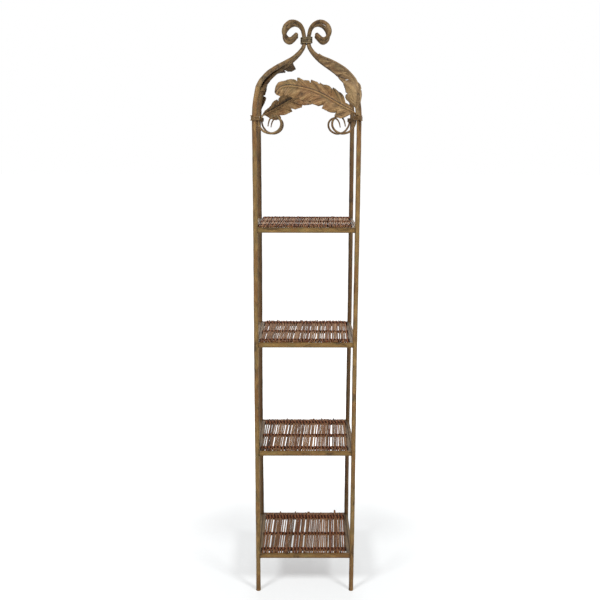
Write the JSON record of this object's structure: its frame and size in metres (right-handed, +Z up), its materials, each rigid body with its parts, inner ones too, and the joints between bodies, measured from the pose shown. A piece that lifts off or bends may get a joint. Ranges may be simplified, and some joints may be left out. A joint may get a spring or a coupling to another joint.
{
  "type": "etagere",
  "caption": "Tall narrow open shelf unit of round iron posts with wicker shelves, under a crown of swept bars that end in scrolls, with lobed iron leaves and tendrils.",
  "frame": {"origin": "middle of the plan on the floor", "axes": "+Z up, +X to the right seen from the front, the front faces -Y"},
  "size_m": [0.3654, 0.3442, 1.9533],
  "materials": {
    "iron": "hammered olive-gold paint over dark iron, worn at the edges",
    "leaf_iron": "tan-gold antique paint, darker in the veins and under the leaf",
    "wire": "greyish olive paint, dull",
    "twig_bark": "peeled and unpeeled willow twigs, dull",
    "weft_bark": "dark red-brown bark, dull"
  },
  "bodies": {
    "root": {"front_left_post": "iron", "front_left_crown_bar": "iron", "front_left_tendril": "iron", "front_left_tie_wire": "wire", "front_right_post": "iron", "front_right_crown_bar": "iron", "front_right_tendril": "iron", "front_right_tie_wire": "wire", "back_right_post": "iron", "back_right_crown_bar": "iron", "back_right_tendril": "iron", "back_right_tie_wire": "wire", "back_left_post": "iron", "back_left_crown_bar": "iron", "back_left_tendril": "iron", "back_left_tie_wire": "wire", "crown_collar_wire": "wire", "front_arch_leaf": "leaf_iron", "right_sheath_leaf": "leaf_iron", "back_arch_leaf": "leaf_iron", "left_sheath_leaf": "leaf_iron", "shelf_4_front_rail": "iron", "shelf_4_back_rail": "iron", "shelf_4_left_rail": "iron", "shelf_4_right_rail": "iron", "shelf_4_mat": "twig_bark", "shelf_4_front_binding": "weft_bark", "shelf_4_middle_binding": "weft_bark", "shelf_4_back_binding": "weft_bark", "shelf_3_front_rail": "iron", "shelf_3_back_rail": "iron", "shelf_3_left_rail": "iron", "shelf_3_right_rail": "iron", "shelf_3_mat": "twig_bark", "shelf_3_front_binding": "weft_bark", "shelf_3_middle_binding": "weft_bark", "shelf_3_back_binding": "weft_bark", "shelf_2_front_rail": "iron", "shelf_2_back_rail": "iron", "shelf_2_left_rail": "iron", "shelf_2_right_rail": "iron", "shelf_2_mat": "twig_bark", "shelf_2_front_binding": "weft_bark", "shelf_2_middle_binding": "weft_bark", "shelf_2_back_binding": "weft_bark", "shelf_1_front_rail": "iron", "shelf_1_back_rail": "iron", "shelf_1_left_rail": "iron", "shelf_1_right_rail": "iron", "shelf_1_mat": "twig_bark", "shelf_1_front_binding": "weft_bark", "shelf_1_middle_binding": "weft_bark", "shelf_1_back_binding": "weft_bark"}
  },
  "joints": []
}
